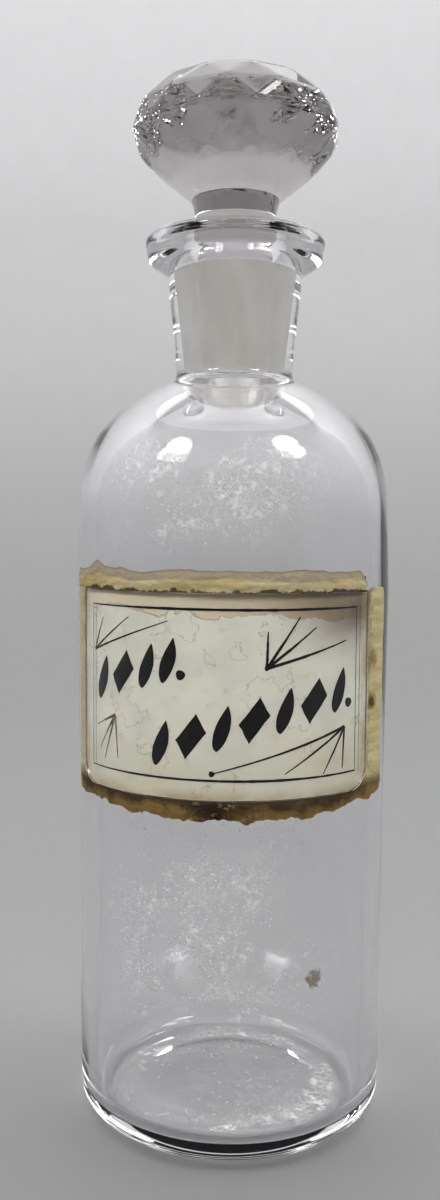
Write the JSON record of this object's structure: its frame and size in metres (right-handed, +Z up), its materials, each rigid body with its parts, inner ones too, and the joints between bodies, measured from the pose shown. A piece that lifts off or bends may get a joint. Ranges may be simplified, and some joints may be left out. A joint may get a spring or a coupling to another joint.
{
  "type": "stoppered medicine bottle",
  "caption": "Cylindrical clear glass pharmacy bottle with a flat lip, a lift-out ground glass stopper with a facetted head, and a curved label pane in a recess.",
  "frame": {"origin": "middle of the base, on the plane the bottle stands on", "axes": "+Z up along the bottle's axis, -Y is the side with the label, +X to the right of the label"},
  "size_m": [0.0702, 0.0701, 0.2306],
  "materials": {
    "clear_glass": "blown glass, clear with a faint grey-lilac cast",
    "stopper_glass": "pressed glass, facetted head, ground plug",
    "pane_glass": "thin curved pane",
    "label_paint": "ivory painted ground, stained",
    "cement": "yellowed cement"
  },
  "bodies": {
    "bottle": {"bottle": "clear_glass", "label_pane": "pane_glass", "label_sheet": "label_paint", "label_cement": "cement"},
    "stopper": {"stopper": "stopper_glass"}
  },
  "joints": [
    {"name": "stopper_lift", "type": "slide", "parent": "bottle", "child": "stopper", "axis": [0, 0, 1], "range_m": [0, 0.06]}
  ]
}
